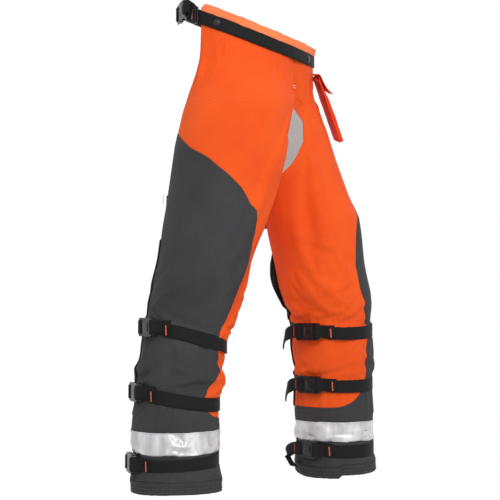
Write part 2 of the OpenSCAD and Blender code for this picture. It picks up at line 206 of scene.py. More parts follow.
class Nodes:
    """A material's node tree, with short ways to add and join nodes."""

    def __init__(self, name):
        self.mat = bpy.data.materials.new(name)
        self.mat.use_nodes = True
        self.tree = self.mat.node_tree
        self.shader = self.tree.nodes["Principled BSDF"]

    def add(self, kind, **settings):
        node = self.tree.nodes.new(kind)
        for key, value in settings.items():
            setattr(node, key, value)
        return node

    def link(self, a, b):
        self.tree.links.new(a, b)

    def put(self, socket, value):
        if hasattr(value, "is_linked"):
            self.link(value, socket)
        else:
            socket.default_value = value

    def set(self, values):
        """Constant values, each on the shader's own socket."""
        for key, value in values.items():
            self.shader.inputs[key].default_value = value

    def feed(self, key, output):
        self.link(output, self.shader.inputs[key])

    def math(self, op, a, b=0.0, c=0.0):
        node = self.add("ShaderNodeMath", operation=op)
        for socket, value in zip(node.inputs, (a, b, c)):
            self.put(socket, value)
        return node.outputs[0]

    def ramp(self, value, a, b, low=0.0, high=1.0):
        node = self.add("ShaderNodeMapRange")
        for key, v in zip(("Value", "From Min", "From Max", "To Min", "To Max"), (value, a, b, low, high)):
            self.put(node.inputs[key], v)
        return node.outputs[0]

    def colors(self, value, low, high):
        node = self.add("ShaderNodeMix", data_type="RGBA")
        self.put(node.inputs[0], value)
        node.inputs[6].default_value, node.inputs[7].default_value = (*low, 1), (*high, 1)
        return node.outputs[2]

    def noise(self, vector, scale, detail=3.0, roughness=0.55):
        node = self.add("ShaderNodeTexNoise")
        self.put(node.inputs["Vector"], vector)
        node.inputs["Scale"].default_value = scale
        node.inputs["Detail"].default_value = detail
        node.inputs["Roughness"].default_value = roughness
        return node.outputs[0]

    def bump(self, height, strength, distance, before=None):
        node = self.add("ShaderNodeBump")
        node.inputs["Strength"].default_value = strength
        node.inputs["Distance"].default_value = distance
        self.put(node.inputs["Height"], height)
        if before is not None:
            self.link(before, node.inputs["Normal"])
        return node.outputs[0]

    def place(self):
        return self.add("ShaderNodeTexCoord").outputs["Object"]

    def weave_uv(self):
        return self.add("ShaderNodeUVMap", uv_map="weave").outputs[0]

    def split(self, vector):
        node = self.add("ShaderNodeSeparateXYZ")
        self.link(vector, node.inputs[0])
        return node.outputs


def woven(name, dark, light, thread=0.62, sheen=0.015, roughness=0.8, mottle=0.35, relief=0.35):
    """Plain weave of coarse nylon: crossing threads, small slubs and soft wear."""
    n = Nodes(name)
    uv = n.split(n.weave_uv())
    turns = 2 * math.pi / (thread * MM)
    across = n.math("SINE", n.math("MULTIPLY", uv[0], turns))
    down = n.math("SINE", n.math("MULTIPLY", uv[1], turns))
    weave = n.math("MULTIPLY", across, down)
    weave = n.ramp(weave, -1, 1)
    place = n.place()
    slub = n.noise(place, 420, 2)
    wear = n.noise(place, 9, 4)
    tone = n.math("MULTIPLY_ADD", weave, 1 - mottle, n.math("MULTIPLY", slub, mottle))
    tone = n.math("MULTIPLY_ADD", n.ramp(wear, 0.3, 0.7, -0.25, 0.25), 0.8, tone)
    n.feed("Base Color", n.colors(tone, dark, light))
    n.feed("Roughness", n.ramp(wear, 0.3, 0.7, roughness - 0.06, roughness + 0.08))
    n.set({"Sheen Weight": sheen, "Sheen Roughness": 0.5, "Specular IOR Level": 0.16})
    soft = n.bump(n.noise(place, 55, 3), 0.25, 0.0012)
    n.feed("Normal", n.bump(weave, relief, 0.0003, soft))
    return n.mat


def webbing_material(name, color, light):
    """Ribbed webbing: a herringbone of thick threads crossed by rows."""
    n = Nodes(name)
    uv = n.split(n.weave_uv())
    row = 2 * math.pi / (1.5 * MM)
    saw = n.math("FRACT", n.math("MULTIPLY", uv[1], 1 / (3.2 * MM)))
    skew = n.math("ABSOLUTE", n.math("SUBTRACT", saw, 0.5))
    phase = n.math("MULTIPLY_ADD", uv[0], row, n.math("MULTIPLY", skew, 5.0))
    ribs = n.ramp(n.math("SINE", phase), -1, 1)
    rows = n.ramp(n.math("SINE", n.math("MULTIPLY", uv[1], 2 * math.pi / (1.6 * MM))), -1, 1)
    height = n.math("MULTIPLY", ribs, n.math("MULTIPLY_ADD", rows, 0.5, 0.5))
    fuzz = n.noise(n.place(), 600, 2)
    tone = n.math("MULTIPLY_ADD", fuzz, 0.5, n.math("MULTIPLY", height, 0.6))
    n.feed("Base Color", n.colors(tone, color, light))
    n.set({"Roughness": 0.62, "Specular IOR Level": 0.14, "Sheen Weight": 0.015, "Sheen Roughness": 0.4})
    n.feed("Normal", n.bump(height, 0.7, 0.0005))
    return n.mat


def reflective_material():
    """Glass bead tape: light grey with a soft shine, and painted shading streaks in its colour; the same
    streaks also vary the roughness and raise soft bumps.
    """
    n = Nodes("reflective_silver")
    place = n.place()
    turn = n.add("ShaderNodeMapping")
    n.link(place, turn.inputs["Vector"])
    turn.inputs["Rotation"].default_value = (0.5, 0.7, 0.2)
    turn.inputs["Scale"].default_value = (42, 42, 9)
    painted_shade_and_relief_streak = n.noise(turn.outputs[0], 1.0, 2)
    # painted shading: the tape's colour goes from darker to lighter grey along the diagonal streaks
    n.feed("Base Color", n.colors(n.ramp(painted_shade_and_relief_streak, 0.36, 0.66), (0.5, 0.5, 0.51), (0.82, 0.82, 0.83)))
    n.set({"Metallic": 0.25})
    n.feed("Roughness", n.ramp(painted_shade_and_relief_streak, 0.3, 0.7, 0.36, 0.5))
    fine = n.bump(n.noise(place, 900, 1), 0.1, 0.0002)
    n.feed("Normal", n.bump(painted_shade_and_relief_streak, 0.5, 0.0012, fine))
    return n.mat


def plastic_material(name, color, roughness, grain):
    """Moulded acetal: a fine spark-eroded grain and handling scuffs."""
    n = Nodes(name)
    place = n.place()
    scuff = n.noise(place, 160, 5, 0.7)
    worn = tuple(min(1, 2.2 * c + 0.01) for c in color)
    n.feed("Base Color", n.colors(n.ramp(scuff, 0.45, 0.8), color, worn))
    n.feed("Roughness", n.ramp(scuff, 0.3, 0.75, roughness - 0.05, roughness + 0.12))
    n.set({"Specular IOR Level": 0.36, "Coat Weight": 0.08, "Coat Roughness": 0.25})
    n.feed("Normal", n.bump(n.noise(place, 2200, 1), grain, 0.0001))
    return n.mat


def thread_material(name, dark, light):
    n = Nodes(name)
    uv = n.split(n.place())
    twist = n.math("SINE", n.math("MULTIPLY", n.math("ADD", uv[2], n.math("ADD", uv[0], uv[1])), 9000))
    n.feed("Base Color", n.colors(n.ramp(twist, -1, 1), dark, light))
    n.set({"Roughness": 0.55, "Sheen Weight": 0.3})
    n.feed("Normal", n.bump(twist, 0.5, 0.0002))
    return n.mat


def pad_material():
    n = Nodes("pad_fibre")
    uv = n.split(n.weave_uv())
    fibres = n.math("SINE", n.math("MULTIPLY", uv[0], 2 * math.pi / (1.8 * MM)))
    tone = n.ramp(n.math("ADD", fibres, n.noise(n.place(), 90, 4)), -1, 2)
    n.feed("Base Color", n.colors(tone, (0.5, 0.48, 0.42), (0.85, 0.83, 0.76)))
    n.set({"Roughness": 0.9})
    n.feed("Normal", n.bump(fibres, 0.6, 0.0006))
    return n.mat


MATS = {
    "orange": woven("shell_orange", (0.7, 0.058, 0.007), (0.93, 0.125, 0.014)),
    "grey": woven("shell_grey", (0.022, 0.022, 0.023), (0.066, 0.066, 0.069), thread=0.7),
    "hem": woven("hem_grey", (0.02, 0.02, 0.021), (0.058, 0.058, 0.061), thread=0.7),
    "waistband": woven("waistband_orange", (0.85, 0.14, 0.045), (1.0, 0.29, 0.11)),
    # the pocket's orange is a darker, redder copy of the shell orange: painted shade in its colour
    "pocket": woven("pocket_orange", (0.66, 0.032, 0.008), (0.92, 0.085, 0.014)),
    "lining": woven("lining_light", (0.72, 0.72, 0.71), (0.9, 0.9, 0.89), thread=1.6, relief=0.6),
    "pad": pad_material(),
    "tape": reflective_material(),
    "webbing": webbing_material("webbing_black", (0.0025, 0.0025, 0.0028), (0.02, 0.02, 0.021)),
    "binding": webbing_material("binding_black", (0.006, 0.006, 0.007), (0.028, 0.028, 0.03)),
    "plastic": plastic_material("buckle_plastic", (0.006, 0.006, 0.0065), 0.3, 0.12),
    "snap": plastic_material("snap_black", (0.01, 0.01, 0.011), 0.22, 0.05),
}
THREADS = {
    "thread_orange": ((0.62, 0.07, 0.02), (0.95, 0.2, 0.08)),
    "thread_dark": ((0.02, 0.02, 0.021), (0.09, 0.09, 0.092)),
    "thread_tonal": ((0.8, 0.13, 0.03), (1.0, 0.28, 0.1)),
    "thread_light": ((0.9, 0.3, 0.14), (1.0, 0.5, 0.3)),
    "thread_red": ((0.25, 0.005, 0.008), (0.5, 0.02, 0.02)),
    "thread_grey": ((0.25, 0.25, 0.26), (0.5, 0.5, 0.52)),
}
MATS |= {name: thread_material(name, *tones) for name, tones in THREADS.items()}
make_camera()
make_studio()

# ---------------------------------------------------------------- meshes

def mesh_object(name, points, faces, mat, uvs=None, solid=False):
    """points in mm; uvs in metres, one per point; a solid gets its faces turned outward."""
    mesh = bpy.data.meshes.new(name)
    mesh.from_pydata((np.asarray(points, float).reshape(-1, 3) * MM).tolist(), [], faces)
    if uvs is not None:
        layer = mesh.uv_layers.new(name="weave")
        corner = np.zeros(len(mesh.loops), int)
        mesh.loops.foreach_get("vertex_index", corner)
        layer.data.foreach_set("uv", np.asarray(uvs, float).reshape(-1, 2)[corner].ravel())
    mesh.materials.append(mat)
    obj = bpy.data.objects.new(name, mesh)
    bpy.context.collection.objects.link(obj)
    mesh.polygons.foreach_set("use_smooth", [True] * len(mesh.polygons))
    if solid:
        bm = bmesh.new()
        bm.from_mesh(mesh)
        bmesh.ops.recalc_face_normals(bm, faces=bm.faces)
        bm.to_mesh(mesh)
        bm.free()
    mesh.update()
    return obj


def grid_faces(rows, cols, closed=False, flip=False, start=0):
    faces = []
    for i in range(rows - 1):
        for j in range(cols if closed else cols - 1):
            a, b = start + i * cols + j, start + i * cols + (j + 1) % cols
            face = (a, b, b + cols, a + cols)
            faces.append(face[::-1] if flip else face)
    return faces


def solidify(obj, thickness, offset=-1.0):
    mod = obj.modifiers.new("thickness", "SOLIDIFY")
    mod.thickness, mod.offset, mod.use_even_offset = thickness * MM, offset, False


# ---------------------------------------------------------------- the cloth of each leg

CLOTH_ROWS, CLOTH_COLS = 150, 96
CLOTH_TOP = 8.0
CLOTH_FRAMES = 26
GROWTH = 0.035          # spare cloth, as a share of its size
CAP_IN, CAP_OUT = 4.0, 9.0

# Broad folds that the hanging fabric keeps: height, angle, half sizes, outward reach, slant
FOLDS = {
    RIGHT: (
        (-668, -22, 17, 26, 5.5, 0.5), (-645, -26, 8, 30, -4.5, 0.4), (-600, 100, 10, 44, -2.4, -0.55),
        (-560, 84, 14, 40, 2.6, 0.8), (-535, 96, 10, 36, -2.6, 0.8), (-630, 108, 12, 30, 2.6, -0.7),
        (-648, 92, 9, 34, -2.6, -0.7), (-430, 96, 60, 12, 2.4, -0.5), (-480, 60, 46, 14, 2.2, 0.4),
        (-520, 40, 40, 12, -2.2, 0.4), (-745, 26, 10, 44, 3.2, 0.3), (-742, 96, 8, 30, -2.0, -0.3),
        (-60, 100, 34, 12, -3.0, 0.0), (-120, 60, 60, 18, 2.0, 0.2), (-430, -30, 70, 34, -8.0, 0.0),
        (-636, 60, 5, 34, -3.6, 0.45), (-628, 90, 5, 26, 3.0, -0.9), (-616, 20, 6, 22, -3.4, 0.9),
        (-560, 60, 7, 40, -3.2, 0.5), (-545, 108, 6, 24, -3.4, 1.0), (-735, 60, 7, 30, -3.2, 0.35),
        (-728, 112, 5, 20, -3.0, -1.0), (-652, 44, 6, 26, 4.0, 0.5), (-470, 112, 9, 30, -3.4, -1.2),
        (-505, 88, 9, 30, 3.2, -0.9),
    ),
    LEFT: (
        (-560, 4, 6, 18, -3.2, 0.6), (-628, -10, 7, 24, 3.0, -0.5), (-500, -40, 7, 26, -3.0, 0.5),
        (-76, 38, 13, 26, -11.0, 0.1), (-104, 44, 12, 30, 3.0, 0.1), (-330, -66, 44, 17, -9.0, 0.3),
        (-290, -44, 24, 16, -5.0, 0.3), (-405, -62, 8, 40, 2.8, -0.55),
        (-420, -58, 8, 40, -3.4, -0.55), (-468, -72, 8, 30, -3.0, -0.5), (-545, -20, 9, 26, -3.2, 0.8),
        (-530, -14, 9, 30, 2.6, 0.8), (-600, -44, 8, 30, -3.2, 0.5), (-612, -40, 9, 30, 2.4, 0.5),
        (-662, -62, 9, 26, -3.0, 0.3), (-740, 40, 10, 44, 3.4, -0.3), (-748, -50, 8, 40, 2.0, 0.2),
        (-640, 84, 10, 24, -3.0, 0.0), (-742, 88, 7, 30, -3.4, 0.0),
    ),
}
# Folds with a sharp lower edge: angle, half width, height, slant, reach, depth upward
OVERHANGS = {RIGHT: ((34, 40, -680, -0.12, 5.5, 34), (30, 40, -752, -0.05, 2.6, 14)),
             LEFT: ((60, 34, -751, 0.10, 3.0, 16),)}


def strap_height(side, k, f):
    """Height of strap k on the leg at angle f."""
    a = -side * np.asarray(f, float)
    return (STRAP_Z[side][k] - STRAP_LEAN[side][k] * side * LEAN_REACH * np.sin(rad(a))
            - STRAP_BACK[side][k] * LEAN_REACH * np.cos(rad(a)))


def fold_shape(side, z, f):
    total = np.zeros(np.broadcast(z, f).shape)
    for fz, ff, hz, hf, reach, slant in FOLDS[side]:
        across = (f - ff) / hf
        along = (z - fz - slant * (f - ff)) / hz
        total += reach * np.exp(-across ** 2 - along ** 2)
    for ff, hf, fz, slant, reach, depth in OVERHANGS[side]:
        above = z - fz - slant * (f - ff) - 9 * np.cos(rad(90 * np.clip((f - ff) / hf, -1, 1)))
        total += (reach * smooth((above + 3) / 7) * np.exp(-(np.maximum(above, 0) / depth) ** 2)
                  * smooth((1 - np.abs(f - ff) / hf) * 2))
    return total


def fullness(side, z, f):
    """How far the fabric stands off the CAD's surface before it is simulated."""
    lower = smooth((-430 - z) / 80)
    puff = np.full(np.broadcast(z, f).shape, 1.0)
    for k in (1, 2, 3):
        puff = puff * (1 - np.exp(-((z - strap_height(side, k, f)) / 24) ** 2))
    belt = smooth((z + 46) / 26)
    edge = smooth((f - lookup(z, INNER_EDGE)) / 26) + smooth((-330 - z) / 30)
    out = mix(0.4 + 3.4 * belt, 4.6, lower) + 2.4 * puff * lower
    return out * np.clip(edge, 0, 1) + fold_shape(side, z, f) * (1 - belt)


def cloth_grid():
    zs = np.linspace(CLOTH_TOP, HEM_Z, CLOTH_ROWS)
    t = np.linspace(0, 1, CLOTH_COLS)
    return zs, t


def cloth_start(side):
    zs, t = cloth_grid()
    z = zs[:, None] + 0 * t
    f = mix(lookup(zs, CLOTH_IN)[:, None], lookup(zs, CLOTH_OUT)[:, None], t[None, :])
    return z, f, body_point(side, z, f, fullness(side, z, f))


def hold_weight(side, z, f, t):
    """1 where webbing or a seam holds the cloth still."""
    hold = smooth((z + 44) / 20)
    for k in (1, 2, 3):
        hold = np.maximum(hold, smooth((17 - np.abs(z - strap_height(side, k, f))) / 5))
    hold = np.maximum(hold, 0.6 * smooth((-845 - z) / 10))
    hold = np.maximum(hold, smooth((0.09 - t) / 0.05) * smooth((z + 350) / 30))
    return hold


def make_cloth(side):
    z, f, start = cloth_start(side)
    rows, cols = z.shape
    jitter = np.array([noise.noise(Vector(p) * 0.03) for p in start.reshape(-1, 3)]).reshape(rows, cols, 1)
    axis = np.stack([side * axis_x(z), lookup(z, AXIS_Y[side]), z], -1)
    out = (start - axis) / np.maximum(np.linalg.norm(start - axis, axis=-1, keepdims=True), 1)
    hold = hold_weight(side, z, f, np.linspace(0, 1, cols)[None, :])
    points = start + out * jitter * 2.0 * (1 - hold[..., None])
    closed = z[:, 0] <= -440
    index = np.arange(rows * cols).reshape(rows, cols)
    index[closed, -1] = index[closed, 0]
    faces = [tuple(int(v) for v in (index[i, j], index[i, j + 1], index[i + 1, j + 1], index[i + 1, j]))
             for i in range(rows - 1) for j in range(cols - 1)]
    obj = mesh_object(f"cloth_{side}", points, faces, MATS["orange"])
    group = obj.vertex_groups.new(name="held")
    levels = np.round(hold, 2).ravel()
    for level in np.unique(levels):
        if level > 0:
            group.add([int(v) for v in np.flatnonzero(levels == level)], float(level), "REPLACE")
    cloth = obj.modifiers.new("cloth", "CLOTH")
    cloth.settings.quality = 6
    cloth.settings.mass = 0.35
    cloth.settings.tension_stiffness = cloth.settings.compression_stiffness = 22
    cloth.settings.shear_stiffness = 8
    cloth.settings.bending_stiffness = 2.2
    cloth.settings.air_damping = 3
    cloth.settings.vertex_group_mass = "held"
    cloth.settings.shrink_min = -GROWTH
    cloth.collision_settings.use_collision = False
    cloth.settings.effector_weights.gravity = 0.6
    cloth.point_cache.frame_end = CLOTH_FRAMES
    return obj, start, out, index


def simulate_legs():
    """The cloth's offset from the CAD's outer surface, on the cloth grid of each side."""
    fields = {}
    made = {side: make_cloth(side) for side in (RIGHT, LEFT)}
    for number in range(1, CLOTH_FRAMES + 1):
        bpy.context.scene.frame_set(number)
    depsgraph = bpy.context.evaluated_depsgraph_get()
    for side, (obj, start, out, index) in made.items():
        moved = start.copy()
        mesh = obj.evaluated_get(depsgraph).to_mesh()
        co = np.zeros(len(mesh.vertices) * 3)
        mesh.vertices.foreach_get("co", co)
        moved = co.reshape(-1, 3)[index] / MM
        shift = moved - start
        reach = (shift * out).sum(-1, keepdims=True)
        rest = shift - reach * out
        reach = np.where(reach > 0, CAP_OUT * np.tanh(reach / CAP_OUT), CAP_IN * np.tanh(reach / CAP_IN))
        size = np.linalg.norm(rest, axis=-1, keepdims=True)
        rest *= np.tanh(size / 6) * 6 / np.maximum(size, 1e-6)
        z, f, _ = cloth_start(side)
        fields[side] = (start - body_point(side, z, f, 0)) + reach * out + rest
        bpy.data.objects.remove(obj)
    return fields


def cubic(count, at):
    """Catmull-Rom weights for fractional places along one axis."""
    i = np.clip(np.floor(at).astype(int), 0, count - 2)
    t = np.clip(at - i, 0, 1)
    weights = (-0.5 * t + t ** 2 - 0.5 * t ** 3, 1 - 2.5 * t ** 2 + 1.5 * t ** 3,
               0.5 * t + 2 * t ** 2 - 1.5 * t ** 3, -0.5 * t ** 2 + 0.5 * t ** 3)
    return [(np.clip(i + k - 1, 0, count - 1), w) for k, w in enumerate(weights)]


FIELDS = simulate_legs()


def shift_at(side, z, f):
    """The cloth's offset at any height and angle, taken smoothly from the simulated grid."""
    f = np.where((f > 180) & (z < -400), f - 360, f)
    low, high = lookup(z, CLOTH_IN), lookup(z, CLOTH_OUT)
    rows = cubic(CLOTH_ROWS, (CLOTH_TOP - z) / (CLOTH_TOP - HEM_Z) * (CLOTH_ROWS - 1))
    cols = cubic(CLOTH_COLS, np.clip((f - low) / (high - low), 0, 1) * (CLOTH_COLS - 1))
    total = 0
    for i, wi in rows:
        for j, wj in cols:
            total = total + FIELDS[side][i, j] * (wi * wj)[..., None]
    return total


def hem_wave(side, f):
    """The left leg's hem dips at the inner front and rises outside."""
    if side == RIGHT:
        return 2.0 * np.sin(rad(2 * f))
    return 6.0 * np.exp(-((f - 70) / 60) ** 2) - 6.0 * smooth((-f - 52) / 4) * smooth((f + 140) / 40)


def cloth_point(side, z, f, off):
    z, f = np.broadcast_arrays(np.asarray(z, float), np.asarray(f, float))
    points = body_point(side, z, f, off) + shift_at(side, z, f)
    points[..., 2] += hem_wave(side, f) * smooth((-818 - z) / 40)
    return points


def cloth_normal(side, z, f):
    a, b = cloth_point(side, z, f + 1, 0), cloth_point(side, z, f - 1, 0)
    c, d = cloth_point(side, z + 2, f, 0), cloth_point(side, z - 2, f, 0)
    return unit(side * np.cross(a - b, c - d))


# ---------------------------------------------------------------- fabric sheets

def quad_area(grid):
    a, b = grid[1:, :-1] - grid[:-1, :-1], grid[:-1, 1:] - grid[:-1, :-1]
    return float(np.linalg.norm(np.cross(a, b), axis=-1).sum())


def slot_of(node):
    return next(part["material_slot"] for part in frame["record"]["subparts"] if part["node"] == node)


def claim(obj, nodes, body="root"):
    """The object takes the place of CAD nodes and moves with a body."""
    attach(obj, body)
    if nodes:
        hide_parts(*nodes)
        slot_of(nodes[0])


def widths(grid):
    """Distance across each row of a grid, from its first point."""
    steps = np.linalg.norm(np.diff(grid, axis=1), axis=-1)
    return np.concatenate([np.zeros((grid.shape[0], 1)), np.cumsum(steps, axis=1)], axis=1)


def sheet_of(grids):
    """Measures the width, length and area of the flat grids that a sheet is cut from; the results are not
    used.
    """
    wide = max(float(widths(g)[:, -1].max()) for g in grids) * MM
    tall = sum(float(travelled(g[:, g.shape[1] // 2])[-1]) for g in grids) * MM
    area = sum(quad_area(g) for g in grids) * MM * MM


def fabric(name, points, faces, mat, uv, thickness, nodes, body="root"):
    """A sheet with its thickness, in place of CAD nodes."""
    obj = mesh_object(name, points, faces, mat, uv)
    solidify(obj, thickness)
    claim(obj, nodes, body)
    return obj


def cloth_uv(flat):
    across = widths(flat)
    middle = across[:, flat.shape[1] // 2:flat.shape[1] // 2 + 1]
    return np.stack([(across - middle) * MM, flat[..., 2] * MM], -1)


def panel(name, side, zs, low, high, off, cols, mat, thickness, nodes, stand=None):
    """A cloth panel between two angles at each height, which may stand off further in places."""
    zs = np.asarray(zs, float)
    low, high = np.broadcast_to(low, zs.shape), np.broadcast_to(high, zs.shape)
    z = zs[:, None] + np.zeros((1, cols))
    f = mix(low[:, None], high[:, None], np.linspace(0, 1, cols)[None, :])
    flat = body_point(side, z, f, 0)
    lift = off if stand is None else off + stand(z, f)
    faces = grid_faces(len(zs), cols, flip=side == LEFT)
    obj = fabric(name, cloth_point(side, z, f, lift), faces, mat, cloth_uv(flat), thickness, nodes)
    sheet_of([flat])


def heights(top, bottom, step=5.0):
    return np.linspace(top, bottom, int(round((top - bottom) / step)) + 1)


# The front panel's rounded lower corner: its two heights and two angles
CORNER = {RIGHT: (-708, -741, -45, 16), LEFT: (-668, -731, -66, -8)}


def corner_z(side, f):
    """Upper edge of the grey below the front panel."""
    top, low, f0, f1 = CORNER[side]
    t = np.clip((f - f0) / (f1 - f0), 0, 1)
    edge = low + (top - low) * (1 - np.sqrt(1 - t * t))
    return np.where(f > 151, LOWER_Z, edge)


def grey_panel(name, side, nodes):
    """The grey side and lower leg, in one sheet with the curve round the front panel's corner."""
    first_f = CORNER[side][3]
    zs = heights(-206, CORNER[side][0])
    cols = np.arange(-180, 181, 2.0)
    upper = cols[(cols >= first_f) & (cols <= 150)]
    t = (upper - first_f) / (150 - first_f)
    z1 = zs[:, None] + 0 * t
    seam = seam_angle(side, zs)
    f1 = mix(seam[:, None], np.maximum(lookup(zs, OUTER_EDGE), seam + 0.5)[:, None], t)
    rows = 34
    z2 = mix(corner_z(side, cols)[None, :], HEM_Z + 20, np.linspace(0, 1, rows)[:, None])
    f2 = cols[None, :] + 0 * z2
    first = int(np.flatnonzero(cols == first_f)[0])
    points = np.concatenate([cloth_point(side, z, f, 0.7).reshape(-1, 3) for z, f in ((z1, f1), (z2, f2))])
    flat1, flat2 = body_point(side, z1, f1, 0), body_point(side, z2, f2, 0)
    uv1, uv2 = cloth_uv(flat1), cloth_uv(flat2)
    uv2[..., 0] += uv1[-1, 0, 0] - uv2[0, first, 0]
    n1 = z1.size
    index = np.arange(len(points))
    index[n1 + first:n1 + first + len(upper)] = np.arange(n1 - len(upper), n1)
    flip = side == LEFT
    faces = grid_faces(len(zs), len(upper), flip=flip) + [
        tuple(int(index[v]) for v in q) for q in grid_faces(rows, len(cols), flip=flip, start=n1)]
    uv = np.concatenate([uv1.reshape(-1, 2), uv2.reshape(-1, 2)])
    obj = fabric(name, points, faces, MATS["grey"], uv, 1.8, nodes)
    sheet_of([flat1, flat2])


def wrap_stand(z, f):
    """The back wrap hangs loose beside the thigh strap."""
    return 10 * np.exp(-((z + 470) / 52) ** 2) * smooth((f - 186) / 22)


def leg_panels(side, word):
    zs = np.concatenate([heights(9, SEAM_TOP), heights(SEAM_TOP, CORNER[side][1] - 3)[1:]])
    right_edge = np.where(zs > CORNER[side][0], seam_angle(side, zs) + 1.5, CORNER[side][3] + 1)
    panel(f"front_cloth_{word}", side, zs, lookup(zs, INNER_EDGE), right_edge, 0, 84,
          MATS["orange"], 1.8, [f"front_panel_{word}"])
    grey_panel(f"grey_cloth_{word}", side, [f"side_panel_{word}", f"lower_panel_{word}"])
    zs = heights(WRAP_TOP, -733)
    panel(f"back_cloth_{word}", side, zs, WRAP_FROM, WRAP_TO, 2.9, 34, MATS["grey"], 1.8,
          [f"back_wrap_{word}"], stand=wrap_stand if side == LEFT else None)
    zs = heights(HEM_Z + 21, HEM_Z, 3)
    panel(f"hem_cloth_{word}", side, zs, -180, 180, 1.5, 150, MATS["hem"], 3.0, [f"hem_band_{word}"])
    zs = heights(TAPE_Z + TAPE_H / 2, TAPE_Z - TAPE_H / 2, 2.5)
    panel(f"tape_cloth_{word}", side, zs, -180, 180, 1.5, 180, MATS["tape"], 0.5,
          [f"reflective_tape_{word}"])
    zs = heights(-60, LOWER_Z + 20, 8)
    panel(f"pad_cloth_{word}", side, zs, np.maximum(lookup(zs, INNER_EDGE) + 6, -70),
          np.minimum(lookup(zs, OUTER_EDGE) - 8, 100), -3.4, 44, MATS["pad"], 5.0, [f"protective_pad_{word}"])
    zs = heights(-50, LOWER_Z - 40, 8)
    panel(f"lining_cloth_{word}", side, zs, np.maximum(lookup(zs, INNER_EDGE) + 3, -140),
          np.minimum(lookup(zs, OUTER_EDGE) - 4, 130), -9.4, 60, MATS["lining"], 0.8, [f"lining_{word}"])


# ---------------------------------------------------------------- stitching and edges

def stitches(name, points, normals, mat, length=2.6, gap=1.5, radius=0.32, body="root"):
    """A row of raised stitches along a path."""
    far = travelled(points)
    starts = np.arange(1, far[-1] - length, length + gap)
    at = lambda d, table: np.stack([np.interp(d, far, table[:, i]) for i in range(3)], -1)
    a, b, n = at(starts, points), at(starts + length, points), at(starts + length / 2, normals)
    n = unit(n)
    side = np.cross(unit(b - a), n)
    rings = []
    for t, lift, grow in ((0, -0.2, 0.7), (0.25, 0.25, 1), (0.75, 0.25, 1), (1, -0.2, 0.7)):
        centre = a + (b - a) * t + n * lift
        for k in range(5):
            turn = 2 * math.pi * k / 5
            rings.append(centre + (side * math.cos(turn) + n * math.sin(turn)) * radius * grow)
    verts = np.stack(rings, 1)
    faces = []
    for s in range(len(starts)):
        for i in range(3):
            for k in range(5):
                p = s * 20 + i * 5
                faces.append((p + k, p + (k + 1) % 5, p + 5 + (k + 1) % 5, p + 5 + k))
    obj = mesh_object(name, verts, faces, mat)
    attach(obj, body)


def cloth_stitches(name, side, z, f, off, mat, **more):
    z, f = np.asarray(z, float), np.asarray(f, float)
    n = cloth_normal(side, z, f)
    stitches(name, cloth_point(side, z, f, off) + 0.1 * n, n, mat, **more)


def seam_path(side, inset):
    """Heights and angles along the seam of the grey, at a distance in mm inside its edge."""
    zs = heights(-210, CORNER[side][0], 4)
    f = seam_angle(side, zs)
    r = lookup(zs, LEG_R)
    slope = np.gradient(rad(f) * r, zs)
    size = np.sqrt(1 + slope ** 2)
    z_in, f_in = zs - inset * slope / size, f + np.degrees(inset / size / r)
    turn = np.linspace(CORNER[side][3], -150, 84)
    z_low = corner_z(side, turn) - inset
    turn_in = turn + np.degrees(inset / 72) * smooth((turn - CORNER[side][2]) / 46)
    return np.concatenate([z_in, z_low]), np.concatenate([f_in, turn_in])


def edge_strip(name, side, z, f_edge, direction, off, width, mat):
    """A narrow binding folded over a panel's edge; direction is +1 where the panel is at larger angles."""
    z = np.asarray(z, float)
    r = lookup(z, LEG_R)
    prof = ((width, 0.0), (width * 0.5, 0.5), (0.6, 0.6), (-0.9, -0.2), (-1.0, -1.4), (0.4, -2.6),
            (width * 0.6, -2.6))
    cols = []
    for across, lift in prof:
        f = f_edge + direction * np.degrees(max(across, 0) / r)
        p = cloth_point(side, z, f, off + lift)
        if across < 0:
            q = cloth_point(side, z, f_edge + direction * np.degrees(3 / r), off + lift)
            p = p - unit(p - q) * across
        cols.append(p)
    grid = np.stack(cols, 1)
    far = travelled(grid[:, 0])
    around = np.cumsum([0, 4, 3, 1.5, 1.2, 1.9, 4])      # distance over the profile
    uv = np.stack([np.broadcast_to(around * MM, (len(z), 7)), far[:, None] * MM + np.zeros((1, 7))], -1)
    obj = mesh_object(name, grid, grid_faces(len(z), 7, flip=(side == LEFT) != (direction < 0)), mat, uv)
    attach(obj, "root")


